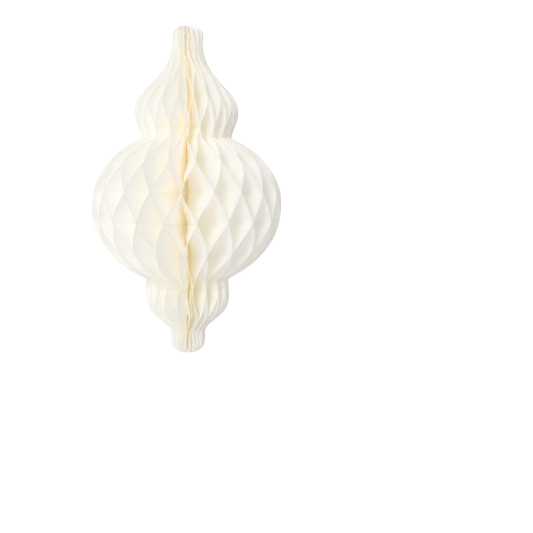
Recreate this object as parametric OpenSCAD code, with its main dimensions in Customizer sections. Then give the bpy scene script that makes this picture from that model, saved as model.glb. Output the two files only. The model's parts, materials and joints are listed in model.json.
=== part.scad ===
// Hanging paper honeycomb ornament: a fan of die-cut leaves bound at a straight spine.
// The origin is the top of the spine, +Z is up, and the seam of the fan faces +Y.
// Distances s along a leaf are measured down the spine from its top.

/* [Silhouette] */
// Height of the ornament, from the top of the spine to its foot
height = 200; // [160:5:240]
// Largest radius of the middle ball
ball_r = 58.5; // [52:0.5:64]
// Largest radius of the bulb above the ball
upper_bulb_r = 32; // [29:0.5:36]
// Largest radius of the bulb below the ball
lower_bulb_r = 25.9; // [25:0.1:28]
// Radius of the upper neck
neck_r = 9.6; // [8.5:0.1:11]
// Radius of the lower neck
foot_r = 10.6; // [9.5:0.1:12]
// Rounding of the outline at the top of the neck
neck_corner = 3.5; // [2.5:0.1:4.5]
// Rounding of the outline at the foot
foot_corner = 5; // [3:0.1:6]

/* [Honeycomb] */
// Number of leaves in the full turn (even)
leaf_count = 40; // [24:2:40]
// Distance of the first glue line below the top
first_line = 1.4; // [1.2:0.1:3]
// Width of each glued strip
strip_w = 1.2; // [0.8:0.1:2]
// Thickness of the leaf paper
paper_t = 0.15; // [0.08:0.01:0.15]
// Thickness of the glue between two leaves
glue_t = 0.05; // [0.02:0.01:0.05]

/* [Spine and boards] */
// Radius of the bead of binding glue on the axis
core_r = 1.35; // [1.2:0.05:1.4]
// Clearance between the bead and the inner edge of a leaf
core_gap = 0.1; // [0.1:0.05:0.3]
// Thickness of an end board
board_t = 0.3; // [0.2:0.05:0.35]
// Radius at which an end board starts
board_inner_r = 5.6; // [5.4:0.1:6.4]
// Distance an end board is set back from the edge of the leaves
board_inset = 0.8; // [0.6:0.1:2]
// Thickness of the adhesive dots between the boards
pad_t = 0.1; // [0.06:0.02:0.14]
// Radius of the loops of binding thread about the axis
thread_ring_r = 3.2; // [3:0.1:3.4]
// Radius of the binding thread
thread_r = 0.25; // [0.15:0.05:0.3]
// Radius of the punched thread holes
thread_hole_r = 0.7; // [0.5:0.05:0.8]
// Distance of each thread loop from its end of the spine
thread_inset = 6; // [5:0.5:8]

/* [Hidden] */
paper_colour = "#f3e8cf";
card_colour = "#e6d8b8";
glue_colour = "#e2c98d";
thread_colour = "#f7f2e4";
tape_colour = "#f5f1e6";

line_count = 10;
pitch = height / line_count;
half_step = 180 / leaf_count;
seam_angle = 90;
mid_s = height / 2;
board_offset = pad_t / 2 + board_t;
offset_step = 2 * board_offset / leaf_count;
leaf_inner_r = core_r + core_gap;
amp_loss = (paper_t + glue_t + offset_step) / (2 * cos(half_step));

// How much a corrugated leaf shortens: the arc length of its wave is longer than its span.
shrink = 1.1;

// The leaf's outline, from the top: the waists are sharp corners between three stretches.
upper_waist_s = 0.3375 * height;
lower_waist_s = 0.782 * height;
upper_waist_r = 0.856 * upper_bulb_r;
lower_waist_r = 0.985 * lower_bulb_r;
upper_outline = [
    [0.000 * height, neck_r],
    [0.030 * height, neck_r + 0.1],
    [0.065 * height, neck_r + 0.1],
    [0.100 * height, neck_r + 2.0],
    [0.135 * height, neck_r + 6.2],
    [0.175 * height, 0.73 * upper_bulb_r],
    [0.215 * height, 0.93 * upper_bulb_r],
    [0.250 * height, upper_bulb_r],
    [0.285 * height, 0.965 * upper_bulb_r],
    [0.318 * height, 0.885 * upper_bulb_r],
    [upper_waist_s, upper_waist_r],
];
lower_outline = [
    [lower_waist_s, lower_waist_r],
    [0.810 * height, lower_bulb_r],
    [0.845 * height, lower_bulb_r],
    [0.870 * height, 0.945 * lower_bulb_r],
    [0.892 * height, 0.825 * lower_bulb_r],
    [0.912 * height, foot_r + 5],
    [0.928 * height, foot_r + 1],
    [0.955 * height, foot_r],
    [1.000 * height, foot_r - 0.2],
];

// The ball's stretch is a superellipse about its own centre.
ball_mid_s = 0.5575 * height;
ball_half_h = 0.241 * height;
ball_power = 2.2;

// Heights and sizes of the adhesive dots: distance down the spine, distance from it, radius
pads = [
    [0.250 * height, 0.60 * upper_bulb_r, 5],
    [0.555 * height, 0.68 * ball_r, 8],
    [0.825 * height, 0.62 * lower_bulb_r, 4],
];

// Spacing below which a row of leaf points would only add a sliver
least_row = 1.5;

function leaf_name(k) = str("leaf_", k < 10 ? "0" : "", k);

// Smooth curve through a list of [s, radius] points
function knot_slope(p, i) =
    let (a = p[max(i - 1, 0)], b = p[min(i + 1, len(p) - 1)])
    (b[1] - a[1]) / (b[0] - a[0]);
function knot_index(p, s, i = 0) =
    i >= len(p) - 2 || s < p[i + 1][0] ? i : knot_index(p, s, i + 1);
function curve(p, s) =
    let (
        i = knot_index(p, s),
        h = p[i + 1][0] - p[i][0],
        u = (s - p[i][0]) / h
    )
    (2 * u * u * u - 3 * u * u + 1) * p[i][1]
    + (u * u * u - 2 * u * u + u) * h * knot_slope(p, i)
    + (3 * u * u - 2 * u * u * u) * p[i + 1][1]
    + (u * u * u - u * u) * h * knot_slope(p, i + 1);

function ball_outline(s) =
    ball_r * pow(1 - pow(abs(s - ball_mid_s) / ball_half_h, ball_power), 1 / ball_power);

// Radius lost to a corner of radius c, at distance d from the end of the leaf
function corner_loss(c, d) = d >= c ? 0 : c - sqrt(c * c - (c - d) * (c - d));

function outline(s) =
    (s <= upper_waist_s ? curve(upper_outline, s)
        : s < lower_waist_s ? ball_outline(s)
        : curve(lower_outline, s))
    - corner_loss(neck_corner, s) - corner_loss(foot_corner, height - s);

// The wave of a leaf: +1 along its even glue lines, -1 along its odd ones, straight between.
function line_s(i) = first_line + i * pitch;
function wave(s) =
    let (
        i = round((s - first_line) / pitch),
        d = max(abs(s - line_s(i)) - strip_w / 2, 0)
    )
    (i % 2 == 0 ? 1 : -1) * (1 - 2 * d / (pitch - strip_w));

// Half the width of a cell at radius x, and the height left to a leaf that is so corrugated
function amp(x) = x * tan(half_step) - amp_loss;
function shortening(x) = sqrt(1 - shrink * pow(2 * amp(x) / pitch, 2));
function level(s, x) = -(mid_s + (s - mid_s) * shortening(x));

function sorted(v) =
    len(v) < 2 ? v
    : let (m = v[floor(len(v) / 2)])
      concat(sorted([for (a = v) if (a < m) a]), [m], sorted([for (a = v) if (a > m) a]));

// Rows of leaf points down the spine: both edges of every strip, both waists, both ends,
// and three rows between neighbouring strips for the outline.
strip_rows = [for (i = [0 : line_count - 1], e = [-1, 1]) line_s(i) + e * strip_w / 2];
between_rows = [
    for (i = [0 : line_count - 1], f = [0.25, 0.5, 0.75])
        let (s = line_s(i) + f * pitch)
        if (abs(s - upper_waist_s) > least_row && abs(s - lower_waist_s) > least_row
            && s < height - foot_corner) s
];
end_rows = [
    0, 0.13 * neck_corner, neck_corner,
    height - foot_corner, height - 0.5 * foot_corner, height - 0.13 * foot_corner, height
];
rows = sorted(concat(strip_rows, between_rows, end_rows, [upper_waist_s, lower_waist_s]));

// Height of leaf k's fold, and how far its middle plane stands off the axis
function leaf_sign(k) = k % 2 == 0 ? 1 : -1;
function leaf_offset(k) = (board_offset - (k - 0.5) * offset_step) / cos(half_step);
function leaf_angle(k) = seam_angle + (2 * k - 1) * half_step;

// Four corners of leaf k at one row: inner and outer edge, back and front face.
// An even leaf meets the next leaf along the odd glue lines.
function leaf_row(k, s) = [
    for (x = [leaf_inner_r, outline(s)], side = [-1, 1])
        [x, leaf_offset(k) - leaf_sign(k) * amp(x) * wave(s) + side * paper_t / 2, level(s, x)]
];

module leaf_sheet(k) {
    last = len(rows) - 1;
    points = [for (s = rows) each leaf_row(k, s)];
    // Corners of a row are numbered 0 inner back, 1 inner front, 2 outer back, 3 outer front.
    walls = [
        for (i = [0 : last - 1])
            let (a = 4 * i, b = a + 4)
            each [
                [a, a + 2, b + 2], [a, b + 2, b],
                [a + 1, b + 3, a + 3], [a + 1, b + 1, b + 3],
                [a, b + 1, a + 1], [a, b, b + 1],
                [a + 2, a + 3, b + 3], [a + 2, b + 3, b + 2],
            ]
    ];
    ends = [
        [0, 1, 3], [0, 3, 2],
        [4 * last, 4 * last + 3, 4 * last + 1], [4 * last, 4 * last + 2, 4 * last + 3],
    ];
    polyhedron(points, concat(walls, ends));
}

module thread_hole(z) {
    translate([thread_ring_r, 0, z])
        rotate([90, 0, 0])
            cylinder(r = thread_hole_r, h = 4, center = true, $fn = 32);
}

module leaf(k) {
    color(paper_colour)
        rotate([0, 0, leaf_angle(k)])
            difference() {
                leaf_sheet(k);
                thread_hole(-thread_inset);
                thread_hole(thread_inset - height);
            }
}

// One end board: a flat card a little inside the outline of the opened leaves.
// Side is -1 for the board at the start of the fan and +1 for the board at its end.
module end_board(side) {
    board_rows = [for (s = rows) if (s > 1 && s < height - 1) s];
    edge = [for (s = board_rows) let (x = outline(s)) [x - board_inset, level(s, x)]];
    back = [
        [board_inner_r, edge[len(edge) - 1][1]],
        [board_inner_r, edge[0][1]],
    ];
    color(card_colour)
        translate([side * (pad_t + board_t) / 2, 0, 0])
            rotate([90, 0, 90])
                linear_extrude(board_t, center = true)
                    polygon(concat(edge, back));
}

module closure_pad(i) {
    color(tape_colour)
        translate([0, pads[i][1], -pads[i][0]])
            rotate([0, 90, 0])
                cylinder(r = pads[i][2], h = pad_t, center = true, $fn = 48);
}

module thread_ring(z) {
    color(thread_colour)
        translate([0, 0, z])
            rotate_extrude($fn = 96)
                translate([thread_ring_r, 0])
                    circle(r = thread_r, $fn = 24);
}

module spine_core() {
    color(glue_colour)
        translate([0, 0, -height])
            cylinder(r = core_r, h = height, $fn = 48);
}

module thread_ring_upper() { thread_ring(-thread_inset); }
module thread_ring_lower() { thread_ring(thread_inset - height); }
module board_left() { end_board(-1); }
module board_right() { end_board(1); }
module closure_pad_upper() { closure_pad(0); }
module closure_pad_middle() { closure_pad(1); }
module closure_pad_lower() { closure_pad(2); }

spine_core();
thread_ring_upper();
thread_ring_lower();
board_left();
board_right();
closure_pad_upper();
closure_pad_middle();
closure_pad_lower();
for (k = [1 : leaf_count])
    leaf(k);
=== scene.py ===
"""Looks of the hanging paper honeycomb ornament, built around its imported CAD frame."""

import json
import math

import bpy
import numpy as np
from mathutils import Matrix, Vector


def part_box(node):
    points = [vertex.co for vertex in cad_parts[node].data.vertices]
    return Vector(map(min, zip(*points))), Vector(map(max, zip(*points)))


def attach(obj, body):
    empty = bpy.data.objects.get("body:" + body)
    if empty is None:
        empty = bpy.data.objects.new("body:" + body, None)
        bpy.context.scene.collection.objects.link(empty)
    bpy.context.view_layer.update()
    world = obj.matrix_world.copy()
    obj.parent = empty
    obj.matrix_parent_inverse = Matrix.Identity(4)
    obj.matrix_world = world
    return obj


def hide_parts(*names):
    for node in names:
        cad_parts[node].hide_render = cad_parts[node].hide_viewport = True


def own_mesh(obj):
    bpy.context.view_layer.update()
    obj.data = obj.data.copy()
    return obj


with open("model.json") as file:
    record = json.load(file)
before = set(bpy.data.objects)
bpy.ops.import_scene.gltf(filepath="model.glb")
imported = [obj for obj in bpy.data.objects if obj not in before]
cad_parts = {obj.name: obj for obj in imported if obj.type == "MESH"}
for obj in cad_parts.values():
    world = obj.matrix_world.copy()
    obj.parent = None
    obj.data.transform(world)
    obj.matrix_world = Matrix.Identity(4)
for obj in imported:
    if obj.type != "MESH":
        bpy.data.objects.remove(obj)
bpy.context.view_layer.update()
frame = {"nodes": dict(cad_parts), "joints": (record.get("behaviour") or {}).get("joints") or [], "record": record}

# ---------------------------------------------------------------- sizes of the honeycomb, metres
SEAM_ANGLE = math.radians(90)  # where the two end boards meet
LINE_COUNT = 10  # glue lines down the spine
FIRST_LINE = 0.0014  # the first glue line, from the top
PAPER = 0.00015  # thickness of a leaf
GLUE = 0.00005  # thickness of the glue between two leaves
SHRINK = 1.1  # how strongly the waves shorten a leaf
INNER_R = 0.00145  # radius of the leaves' inner edges
HOLES_END = 0.00465  # radius past the punched holes, where only the outer edge is left
WAIST_LEAST_R = 0.02  # only the two waists beside the ball are sharp
DEPTH_DECIMALS = 7  # points whose depths agree to these decimals count as one

couplings = {c["joint"]: c["ratio"] for c in frame["record"]["behaviour"]["couplings"]}
leaf_joints = [j for j in frame["joints"] if j["name"] in couplings]
LEAF_COUNT = len(leaf_joints)
HALF_STEP = math.pi / LEAF_COUNT
HEIGHT = -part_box("spine_core")[0].z
MID = HEIGHT / 2
PITCH = HEIGHT / LINE_COUNT
BOARD_OFFSET = -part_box("board_left")[0].x
OFFSET_STEP = 2 * BOARD_OFFSET / LEAF_COUNT
AMP_LOSS = (PAPER + GLUE + OFFSET_STEP) / (2 * math.cos(HALF_STEP))


def amp(x):
    """Half the width of a cell at radius x."""
    return x * math.tan(HALF_STEP) - AMP_LOSS


def shortening(x):
    """Share of its flat height that the corrugated paper keeps at radius x."""
    return np.sqrt(1 - SHRINK * (2 * amp(x) / PITCH) ** 2)


# ---------------------------------------------------------------- the outline, from the CAD leaf
def leaf_angle(ratio):
    """Where the leaf with this share of the turn stands round the spine."""
    return SEAM_ANGLE + 2 * math.pi * ratio


def cad_leaf(joint):
    """Name of the CAD leaf that turns with this joint."""
    return frame["record"]["behaviour"]["bodies"][joint["child"]][0]


def cad_outline():
    """Distances down the flat leaf and radii of the outer edge, from a CAD leaf's own points."""
    joint = leaf_joints[0]
    angle = leaf_angle(couplings[joint["name"]])
    co = np.array([v.co for v in frame["nodes"][cad_leaf(joint)].data.vertices], float)
    x = co[:, 0] * math.cos(angle) + co[:, 1] * math.sin(angle)
    outer = x > HOLES_END
    depth, first = np.unique(np.round(-co[outer, 2], DEPTH_DECIMALS), return_index=True)
    radius = x[outer][first]
    return MID + (depth - MID) / shortening(radius), radius


def hermite(px, py, x):
    """Smooth curve through the points px, py."""
    slope = np.empty_like(py)
    slope[1:-1] = (py[2:] - py[:-2]) / (px[2:] - px[:-2])
    slope[0] = (py[1] - py[0]) / (px[1] - px[0])
    slope[-1] = (py[-1] - py[-2]) / (px[-1] - px[-2])
    i = np.clip(np.searchsorted(px, x, side="right") - 1, 0, len(px) - 2)
    h = px[i + 1] - px[i]
    u = (x - px[i]) / h
    return (
        (2 * u**3 - 3 * u**2 + 1) * py[i]
        + (u**3 - 2 * u**2 + u) * h * slope[i]
        + (3 * u**2 - 2 * u**3) * py[i + 1]
        + (u**3 - u**2) * h * slope[i + 1]
    )


outline_s, outline_r = cad_outline()
inner_minimum = (outline_r[1:-1] < outline_r[:-2]) & (outline_r[1:-1] < outline_r[2:])
WAISTS = [i + 1 for i in np.flatnonzero(inner_minimum) if outline_r[i + 1] > WAIST_LEAST_R]


def outline(s):
    """Radius of the leaf's edge at distance s: a smooth curve between sharp waists."""
    s = np.clip(s, outline_s[0], outline_s[-1])
    ends = [0, *WAISTS, len(outline_s) - 1]
    radius = np.zeros_like(s)
    for a, b in zip(ends[:-1], ends[1:]):
        here = (s >= outline_s[a]) & (s <= outline_s[b])
        radius[here] = hermite(outline_s[a : b + 1], outline_r[a : b + 1], s[here])
    return radius


# ---------------------------------------------------------------- leaves
ROWS_PER_CELL = 12
ROW_CROWDING = 0.72  # how much closer the rows are at the glue lines
COLUMNS = 12
COLUMN_POWER = 0.9  # below 1, the columns are closer at the outer edge
ROUNDING = 0.965  # 1 would make the folds at the glue lines sharp
LEAST_ROW = 0.00012  # least distance between a row and a corner of the outline
SAME_ROW = 0.000001
TOP_CORNERS = 0.004  # each corner of the outline this near the top gets a row
FOOT_CORNERS = 0.006  # and so does each this near the foot
SHARP_ANGLE = math.radians(50)


def leaf_rows():
    """Distances of the rows of leaf points: crowded at the glue lines, with every corner."""
    u = np.arange(ROWS_PER_CELL) / ROWS_PER_CELL
    cell = u - ROW_CROWDING * np.sin(2 * np.pi * u) / (2 * np.pi)
    s = FIRST_LINE + PITCH * (np.arange(-1, LINE_COUNT)[:, None] + cell[None, :]).ravel()
    kept = [0.0, HEIGHT, *outline_s[WAISTS]]
    kept += [x for x in outline_s if x < TOP_CORNERS or x > HEIGHT - FOOT_CORNERS]
    for x in s:
        if 0 < x < HEIGHT and min(abs(x - k) for k in kept) > LEAST_ROW:
            kept.append(x)
    rows = np.unique(np.clip(kept, 0, HEIGHT))
    return rows[np.concatenate([[True], np.diff(rows) > SAME_ROW])]


def smooth_step(a, b, x):
    """0 at a, 1 at b and smooth between them."""
    u = np.clip((x - a) / (b - a), 0, 1)
    return u * u * (3 - 2 * u)


def wave(s):
    """+1 along the even glue lines, -1 along the odd ones, with short round bends."""
    turn = np.pi * (s - FIRST_LINE) / PITCH
    return np.arcsin(ROUNDING * np.cos(turn)) / math.asin(ROUNDING)


# Handling bends: each is smooth and the same for touching leaves, and fades out at the seam.
# A ripple is its size, its waves round the ornament, its climb per metre and its phase.
TURN_RIPPLES = ((0.010, 3, 38, 0.6), (0.008, 7, -61, 2.1), (0.006, 13, 97, 4.0))
LIFT_RIPPLE = (0.0003, 5, 45, 1.3)
LIFT_RADII = (0, 0.02)
PUFF_RIPPLES = ((0.0003, 9, 120, 0.0), (0.0002, 20, -60, 1.0))
PUFF_RADII = (0.03, 0.012)
PUFF_LEAST_R = 0.001
PUFF_END = 0.008  # the puffs fade out this far from both ends
UNEVEN = 0.047  # how unevenly the leaves stand in the necks, radians
UNEVEN_RIPPLE = (17, 50, 0.5)
WANDER = 0.21  # how far the gaps between leaves wander near the spine, radians
WANDER_LENGTH = 0.117
WANDER_START = 0.048
WANDER_RADIUS = 0.007
FLUTTER = 0.05  # the same, from one cell to the next
FLUTTER_LENGTH = 0.019
FLUTTER_WAVES = 3
TWIST = 0.28  # how far the upper neck is twisted, radians
TWIST_ZONE = (-0.034, -0.002)
LEAN = 0.0016  # how far the upper neck leans
NECK_ZONE = (-0.045, -0.004)
NECK_RADIUS = 0.0096
TILT = (0.0008, 0.0005, 0.0014)  # drop of the top: even, across and towards both sides
FREE_RADII = (0.0015, 0.0085)  # the spine holds the leaves inside these radii
SAG = 0.0014  # drop of the foot's middle
SAG_SIDES = 0.0010  # how much less its two sides drop
SAG_ZONE = (-0.160, -HEIGHT)
SAG_RADII = (0, 0.0030)
UPPER_CROWD = (-0.042, -0.015)
LOWER_CROWD = (-0.142, -0.174)


def crowding(z):
    """1 in the two necks, where the leaves stand close, and 0 in the ball."""
    return smooth_step(*LOWER_CROWD, z) + smooth_step(*UPPER_CROWD, z)


def ripple(size, waves, climb, phase, front, z):
    """A wave that runs round the ornament and climbs it."""
    return size * np.sin(waves * front + climb * z + phase)


def turned(z, radius, front):
    """Angle by which each point swings round the spine."""
    turn = sum(ripple(*kind, front, z) for kind in TURN_RIPPLES)
    near = radius / WANDER_RADIUS * np.exp(1 - radius / WANDER_RADIUS)
    turn += WANDER * near * np.cos(2 * np.pi * (z + WANDER_START) / WANDER_LENGTH)
    turn += FLUTTER * near * np.sin(2 * np.pi * z / FLUTTER_LENGTH + FLUTTER_WAVES * front)
    turn -= TWIST * smooth_step(*TWIST_ZONE, z)
    turn += ripple(UNEVEN * crowding(z), *UNEVEN_RIPPLE, front, z)
    return turn


def drop(x, z, radius, free, top, hold):
    """How far each point hangs lower: the top's slope and the foot's sag."""
    across = x / NECK_RADIUS
    tilt = top * (TILT[0] + TILT[1] * across + TILT[2] * across**2)
    sag = smooth_step(*SAG_ZONE, z) * hold * (SAG - SAG_SIDES * np.minimum(across**2, 1))
    return tilt * free + sag * smooth_step(*SAG_RADII, radius)


def puffed(z, radius, front, free, hold):
    """Scale by which each point stands nearer to the spine or farther from it."""
    puff = sum(ripple(*kind, front, z) for kind in PUFF_RIPPLES)
    puff *= smooth_step(0, -PUFF_END, z) * smooth_step(-HEIGHT, PUFF_END - HEIGHT, z)
    return 1 + puff * hold * free * smooth_step(*PUFF_RADII, radius) / np.maximum(radius, PUFF_LEAST_R)


def warp(points):
    """The ornament as it is after handling: a leaning, twisted neck and uneven leaves."""
    x, y, z = points[..., 0], points[..., 1], points[..., 2]
    radius = np.hypot(x, y)
    front = (np.arctan2(y, x) - SEAM_ANGLE) % (2 * np.pi)
    hold = np.sin(front / 2) ** 2
    turn = turned(z, radius, front) * hold
    c, s = np.cos(turn), np.sin(turn)
    x, y = x * c - y * s, x * s + y * c
    top = smooth_step(*NECK_ZONE, z) * hold
    free = smooth_step(*FREE_RADII, radius)
    lift = ripple(*LIFT_RIPPLE, front, z) * hold * smooth_step(*LIFT_RADII, radius)
    down = drop(x, z, radius, free, top, hold)
    scale = puffed(z, radius, front, free, hold)
    return np.stack([x * scale + LEAN * top * free, y * scale, z + lift - down], -1)


ROWS = leaf_rows()
EDGE = outline(ROWS)
WAVE = wave(ROWS)


def leaf_surface(ratio, sign):
    """Grid of points of one leaf's middle surface, and its distance and radius grids."""
    across = np.linspace(0, 1, COLUMNS) ** COLUMN_POWER
    x = INNER_R + (EDGE[:, None] - INNER_R) * across[None, :]
    s = np.repeat(ROWS[:, None], COLUMNS, 1)
    offset = BOARD_OFFSET * (1 - 2 * ratio) / math.cos(HALF_STEP)
    y = offset - sign * amp(x) * WAVE[:, None]
    z = -(MID + (s - MID) * shortening(x))
    angle = leaf_angle(ratio)
    c, t = math.cos(angle), math.sin(angle)
    return warp(np.stack([x * c - y * t, x * t + y * c, z], -1)), s, x


def grid_normals(points):
    """Unit normals of a grid of points."""
    down = np.gradient(points, axis=0)
    out = np.gradient(points, axis=1)
    n = np.cross(down, out)
    return n / np.linalg.norm(n, axis=-1, keepdims=True)


def grid_faces(rows, columns, start, flip):
    """Quads of a grid whose first point is number start."""
    i = np.arange(rows - 1)[:, None] * columns + np.arange(columns - 1)[None, :] + start
    quads = np.stack([i, i + 1, i + columns + 1, i + columns], -1).reshape(-1, 4)
    return quads[:, ::-1] if flip else quads


def rim_faces(rows, columns, count):
    """Quads that join the two skins of a leaf all round its edge."""
    top = np.arange(columns)
    right = np.arange(1, rows) * columns + columns - 1
    bottom = (rows - 1) * columns + np.arange(columns - 2, -1, -1)
    left = np.arange(rows - 2, -1, -1) * columns
    loop = np.concatenate([top, right, bottom, left])
    a, b = loop[:-1], loop[1:]
    return np.stack([b, a, a + count, b + count], -1)


def mesh_object(name, points, faces, attributes=()):
    """A new object with a smooth mesh, sharp at its corners."""
    mesh = bpy.data.meshes.new(name)
    mesh.from_pydata(points.tolist(), [], faces.tolist())
    for key, values in attributes:
        layer = mesh.attributes.new(key, "FLOAT", "POINT")
        layer.data.foreach_set("value", values.astype(np.float32))
    mesh.shade_smooth()
    mesh.set_sharp_from_angle(angle=SHARP_ANGLE)
    mesh.update()
    obj = bpy.data.objects.new(name, mesh)
    bpy.context.scene.collection.objects.link(obj)
    return obj


def two_skins(middle):
    """Points and faces of a sheet of paper round its middle surface."""
    rows, columns = middle.shape[:2]
    count = rows * columns
    half = grid_normals(middle) * PAPER / 2
    points = np.concatenate([(middle + half).reshape(-1, 3), (middle - half).reshape(-1, 3)])
    faces = np.concatenate([
        grid_faces(rows, columns, 0, False),
        grid_faces(rows, columns, count, True),
        rim_faces(rows, columns, count),
    ])
    return points, faces


def leaf_marks(s, x):
    """What the paper's material reads at each point of both skins."""
    depth = EDGE[:, None] - x
    crowded = np.repeat(crowding(-ROWS)[:, None], COLUMNS, 1)
    marks = (("spine_distance", s), ("depth", depth), ("radius", x), ("crowded", crowded))
    return [(key, np.tile(values.ravel(), 2)) for key, values in marks]


def make_leaf(joint, index, material):
    """One leaf of paper, which turns with its hinge."""
    ratio = couplings[joint["name"]]
    sign = 1 if index % 2 == 0 else -1
    middle, s, x = leaf_surface(ratio, sign)
    leaf = mesh_object(f"paper_leaf_{index:02d}", *two_skins(middle), leaf_marks(s, x))
    leaf.data.materials.append(material)
    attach(leaf, joint["child"])
    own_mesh(leaf)
    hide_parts(cad_leaf(joint))


# ---------------------------------------------------------------- materials
COLOUR_INPUTS = (0, 6, 7)  # the Mix node's factor and its two colours


class Nodes:
    """A short way to write a material's nodes."""

    def __init__(self, name):
        self.material = bpy.data.materials.new(name)
        self.material.use_nodes = True
        self.tree = self.material.node_tree
        self.tree.nodes.clear()

    def add(self, kind, **values):
        """A node, with values for its inputs or its settings."""
        node = self.tree.nodes.new("ShaderNode" + kind)
        for key, value in values.items():
            if key in node.inputs:
                node.inputs[key].default_value = value
            else:
                setattr(node, key, value)
        return node

    def link(self, a, b):
        self.tree.links.new(a, b)

    def math(self, operation, a, b=0.0):
        """The result of a calculation with sockets or numbers."""
        node = self.add("Math", operation=operation)
        for socket, value in zip(node.inputs, (a, b)):
            if isinstance(value, (int, float)):
                socket.default_value = value
            else:
                self.link(value, socket)
        return node.outputs[0]

    def ramp(self, value, low, high, out_low=0.0, out_high=1.0):
        """out_low at low, out_high at high and smooth between them."""
        node = self.add("MapRange", interpolation_type="SMOOTHSTEP")
        self.link(value, node.inputs["Value"])
        limits = {"From Min": low, "From Max": high, "To Min": out_low, "To Max": out_high}
        for key, number in limits.items():
            node.inputs[key].default_value = number
        return node.outputs[0]

    def mix(self, factor, a, b, blend="MIX"):
        """Colour a where the factor is 0 and b where it is 1."""
        node = self.add("Mix", data_type="RGBA", blend_type=blend)
        factor_in, a_in, b_in = (node.inputs[number] for number in COLOUR_INPUTS)
        for socket, value in ((factor_in, factor), (a_in, a), (b_in, b)):
            if isinstance(value, (int, float, tuple)):
                socket.default_value = value
            else:
                self.link(value, socket)
        return node.outputs[2]

    def noise(self, coordinates, scale, detail=3.0, roughness=0.55):
        """Noise of 0 to 1, with scale in spots per metre."""
        node = self.add("TexNoise", Scale=scale, Detail=detail, Roughness=roughness)
        self.link(coordinates, node.inputs["Vector"])
        return node.outputs["Fac"]

    def mark(self, name):
        """The value that leaf_marks gave each point."""
        return self.add("Attribute", attribute_name=name).outputs["Fac"]


def srgb(r, g, b):
    """Linear colour from display values of 0 to 255."""
    values = [c / 255 for c in (r, g, b)]
    return tuple(c / 12.92 if c <= 0.04045 else ((c + 0.055) / 1.055) ** 2.4 for c in values) + (1.0,)


# The paper's colours are linear and nearly white: light bounces hundreds of times between the leaves, so the
# cells' depth and warmth come mostly from what each bounce takes away; the rest is painted shade, mixed in below.
PAPER_LIGHT = (1.0, 0.9982, 0.991, 1)
PAPER_DARK = (1.0, 0.9974, 0.988, 1)
# painted warm shade towards the spine, where the light between the leaves turns warm
PAINTED_SPINE_SHADE_COLOUR = (1.0, 0.9950, 0.980, 1)
# painted shade deep inside the two necks, where the gaps between the leaves are dark
PAINTED_NECK_SHADE_COLOUR = (0.9966, 0.9935, 0.9780, 1.0)
PAINTED_SPINE_SHADE_RADII = (0.013, 0.002)
PAINTED_NECK_SHADE_DEPTHS = (0.0005, 0.004)
TRANSLUCENCY = 0.36
CROWDED_TRANSLUCENCY = 0.1
# painted shade in a band along each leaf's cut edge, standing in for the shading at the rims
PAINTED_RIM_SHADE_COLOUR = (0.82, 0.79, 0.73, 1.0)
PAINTED_RIM_SHADE_STRENGTH = 0.15  # strength of the painted shade along the cut edge
PAINTED_RIM_SHADE_WIDTH = 0.0016
GLUE_COLOUR = srgb(206, 184, 140)
GLUE_MARK = 0.05  # strength of the glue lines
GLUE_LINE = (0.008, 0.024)  # where a glue line starts to fade and ends, in pitches
FIBRE_SCALE = 900.0
CLOUD_SCALE = 70.0
PATCH_SCALE = 260.0
PAPER_BUMP = 0.00004


def paper_colour(m, place, fibres, crowded):
    """Faint mottling, with painted warm shade near the spine, painted shade deep in the necks and painted shade
    along the cut edge.
    """
    clouds = m.noise(place, CLOUD_SCALE, 3.0, 0.5)
    uneven = m.math("ADD", m.ramp(clouds, 0.3, 0.7, 0.0, 0.5), m.ramp(fibres, 0.35, 0.75, 0.0, 0.5))
    depth = m.mark("depth")
    colour = m.mix(uneven, PAPER_LIGHT, PAPER_DARK)
    # painted warm shade towards the spine
    colour = m.mix(m.ramp(m.mark("radius"), *PAINTED_SPINE_SHADE_RADII), colour, PAINTED_SPINE_SHADE_COLOUR)
    # painted shade deep inside the necks
    inside = m.math("MULTIPLY", crowded, m.ramp(depth, *PAINTED_NECK_SHADE_DEPTHS))
    colour = m.mix(inside, colour, PAINTED_NECK_SHADE_COLOUR)
    # painted shade along the cut edge
    return m.mix(m.ramp(depth, 0.0, PAINTED_RIM_SHADE_WIDTH, PAINTED_RIM_SHADE_STRENGTH, 0.0), colour, PAINTED_RIM_SHADE_COLOUR)


def glue_line(m, place):
    """Patchy strength of the faint marks along the glue lines."""
    cells = m.math("DIVIDE", m.math("SUBTRACT", m.mark("spine_distance"), FIRST_LINE - PITCH / 2), PITCH)
    off_line = m.math("ABSOLUTE", m.math("SUBTRACT", m.math("FRACT", cells), 0.5))
    line = m.ramp(off_line, *GLUE_LINE, 1.0, 0.0)
    patchy = m.ramp(m.noise(place, PATCH_SCALE, 2.0), 0.35, 0.65, 0.25, 1.0)
    return m.math("MULTIPLY", m.math("MULTIPLY", line, patchy), GLUE_MARK)


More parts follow.
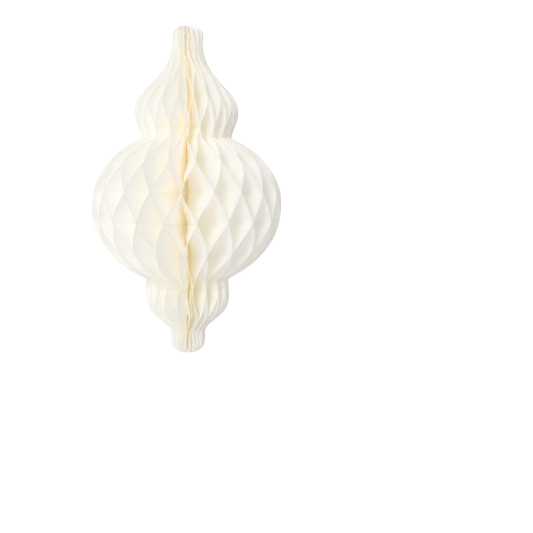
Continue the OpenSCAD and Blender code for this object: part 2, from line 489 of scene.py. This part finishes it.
def paper_material():
    """Uncoated tissue paper, which lets some light through, less where leaves stand close."""
    m = Nodes("leaf_paper")
    place = m.add("TexCoord").outputs["Object"]
    fibres = m.noise(place, FIBRE_SCALE, 4.0, 0.7)
    crowded = m.mark("crowded")
    colour = m.mix(glue_line(m, place), paper_colour(m, place, fibres, crowded), GLUE_COLOUR)
    bump = m.add("Bump", Strength=0.1, Distance=PAPER_BUMP)
    m.link(fibres, bump.inputs["Height"])
    surface = m.add("BsdfPrincipled", Roughness=0.85)
    surface.inputs["Specular IOR Level"].default_value = 0.15
    m.link(colour, surface.inputs["Base Color"])
    m.link(bump.outputs["Normal"], surface.inputs["Normal"])
    through = m.add("BsdfTranslucent")
    m.link(colour, through.inputs["Color"])
    m.link(bump.outputs["Normal"], through.inputs["Normal"])
    both = m.add("MixShader")
    m.link(m.ramp(crowded, 0.0, 1.0, TRANSLUCENCY, CROWDED_TRANSLUCENCY), both.inputs[0])
    m.link(surface.outputs[0], both.inputs[1])
    m.link(through.outputs[0], both.inputs[2])
    m.link(both.outputs[0], m.add("OutputMaterial").inputs["Surface"])
    return m.material


def plain_material(name, colour, shade, scale, roughness, bump_size):
    """Card, glue, thread or tape: one colour with a fine uneven shade and surface."""
    m = Nodes(name)
    place = m.add("TexCoord").outputs["Object"]
    grain = m.noise(place, scale, 4.0, 0.6)
    bump = m.add("Bump", Strength=0.4, Distance=bump_size)
    m.link(grain, bump.inputs["Height"])
    surface = m.add("BsdfPrincipled", Roughness=roughness)
    m.link(m.mix(m.ramp(grain, 0.3, 0.7), colour, shade), surface.inputs["Base Color"])
    m.link(bump.outputs["Normal"], surface.inputs["Normal"])
    m.link(surface.outputs[0], m.add("OutputMaterial").inputs["Surface"])
    return m.material


def paint(node, material):
    """Give a CAD node its finish."""
    mesh = frame["nodes"][node].data
    mesh.materials.clear()
    mesh.materials.append(material)


# ---------------------------------------------------------------- camera, light and floor
VIEW_TURN = math.radians(3.4)
VIEW_DISTANCE = 0.655
VIEW_LEVEL = -0.0985
LENS = 70.9
AIM_RIGHT = 0.0754  # the ornament hangs left of the middle of the picture
AIM_DOWN = 0.0757  # and above it

WHITE = (1.0, 1.0, 1.0)
COOL = (0.93, 0.97, 1.0)
LIGHTS = (  # name, place, size, watts and colour of each soft light
    ("key", (-0.45, -1.6, 0.5), 0.6, 10.2, WHITE),
    ("left", (-1.5, -0.5, 0.9), 1.0, 5.6, COOL),
    ("right", (1.5, -0.8, 0.2), 1.0, 2.0, WHITE),
    ("back", (0.7, 1.3, 0.4), 1.0, 1.5, WHITE),
)
AMBIENT = 0.545
BACKDROP = 1.08  # brightness of the white that the camera sees behind the ornament
BOUNCES = 400

FLOOR_RADIUS = 3.0
FLOOR_DROP = 1.2  # how far the floor is below the ornament
FLOOR_SIDES = 96
FLOOR_FADE = (0.6, 2.6)  # distances between which the floor brightens towards its rim
FLOOR_GLOW = 0.45


def make_camera():
    """The photograph's view: level with the middle, with the ornament at the upper left."""
    data = bpy.data.cameras.new("camera")
    data.lens = LENS
    camera = bpy.data.objects.new("camera", data)
    bpy.context.scene.collection.objects.link(camera)
    right = Vector((math.cos(VIEW_TURN), math.sin(VIEW_TURN), 0))
    axis_point = Vector((0, 0, VIEW_LEVEL))
    camera.location = axis_point + VIEW_DISTANCE * Vector((right.y, -right.x, 0))
    aim = axis_point + VIEW_DISTANCE * (AIM_RIGHT * right - AIM_DOWN * Vector((0, 0, 1)))
    camera.rotation_mode = "QUATERNION"
    camera.rotation_quaternion = (aim - camera.location).to_track_quat("-Z", "Y")
    bpy.context.scene.camera = camera


def make_light(name, place, size, energy, colour):
    """A soft area light aimed at the middle of the ornament."""
    data = bpy.data.lights.new(name, "AREA")
    data.size = size
    data.energy = energy
    data.color = colour
    light = bpy.data.objects.new(name, data)
    bpy.context.scene.collection.objects.link(light)
    light.location = place
    light.rotation_mode = "QUATERNION"
    light.rotation_quaternion = (Vector((0, 0, -MID)) - Vector(place)).to_track_quat("-Z", "Y")


def make_world():
    """Even white light all round, and enough bounces for the insides of the cells."""
    world = bpy.data.worlds.new("studio")
    world.use_nodes = True
    tree = world.node_tree
    background = tree.nodes["Background"]
    background.inputs["Color"].default_value = (*WHITE, 1.0)
    paths = tree.nodes.new("ShaderNodeLightPath")
    strength = tree.nodes.new("ShaderNodeMapRange")
    strength.inputs["To Min"].default_value = AMBIENT
    strength.inputs["To Max"].default_value = BACKDROP
    tree.links.new(paths.outputs["Is Camera Ray"], strength.inputs["Value"])
    tree.links.new(strength.outputs[0], background.inputs["Strength"])
    bpy.context.scene.world = world
    bpy.context.scene.view_settings.view_transform = "Standard"
    light_paths = bpy.context.scene.cycles
    light_paths.max_bounces = BOUNCES
    light_paths.diffuse_bounces = BOUNCES
    light_paths.transmission_bounces = BOUNCES


def make_floor():
    """A round pale floor well below the hanging ornament, brighter towards its rim."""
    turn = np.linspace(0, 2 * np.pi, FLOOR_SIDES, endpoint=False)
    depth = np.full_like(turn, -HEIGHT - FLOOR_DROP)
    corners = np.stack([FLOOR_RADIUS * np.cos(turn), FLOOR_RADIUS * np.sin(turn), depth], -1)
    floor = mesh_object("floor", corners, np.arange(FLOOR_SIDES)[None, :])
    m = Nodes("floor")
    place = m.add("TexCoord").outputs["Object"]
    grain = m.ramp(m.noise(place, 4.0), 0.3, 0.7)
    surface = m.add("BsdfPrincipled", Roughness=0.9)
    m.link(m.mix(grain, srgb(252, 252, 252), srgb(249, 249, 249)), surface.inputs["Base Color"])
    away = m.add("VectorMath", operation="LENGTH")
    m.link(m.mix(1.0, place, (1.0, 1.0, 0.0, 1.0), "MULTIPLY"), away.inputs[0])
    surface.inputs["Emission Color"].default_value = (*WHITE, 1.0)
    glow = m.ramp(away.outputs["Value"], *FLOOR_FADE, 0.0, FLOOR_GLOW)
    m.link(glow, surface.inputs["Emission Strength"])
    m.link(surface.outputs[0], m.add("OutputMaterial").inputs["Surface"])
    floor.data.materials.append(m.material)


# ---------------------------------------------------------------- build
make_camera()
make_world()
for settings in LIGHTS:
    make_light(*settings)
make_floor()

leaf_paper = paper_material()
for index, joint in enumerate(leaf_joints, 1):
    make_leaf(joint, index, leaf_paper)

ivory = srgb(246, 241, 228)
shaded_ivory = srgb(222, 214, 194)
amber = (1.0, 0.93, 0.6, 1)
dark_amber = (1.0, 0.9, 0.5, 1)
card = plain_material("board_card", ivory, srgb(238, 231, 213), 2600.0, 0.8, 0.00002)
glue = plain_material("binding_glue", amber, dark_amber, 400.0, 0.45, 0.0001)
thread = plain_material("binding_thread", ivory, shaded_ivory, 2600.0, 0.8, 0.0001)
tape = plain_material("adhesive_tape", srgb(240, 236, 222), srgb(228, 222, 204), 300.0, 0.35, 0.00003)
for node in ("board_left", "board_right"):
    paint(node, card)
for node in ("closure_pad_upper", "closure_pad_middle", "closure_pad_lower"):
    paint(node, tape)
for node in ("thread_ring_upper", "thread_ring_lower"):
    paint(node, thread)
paint("spine_core", glue)
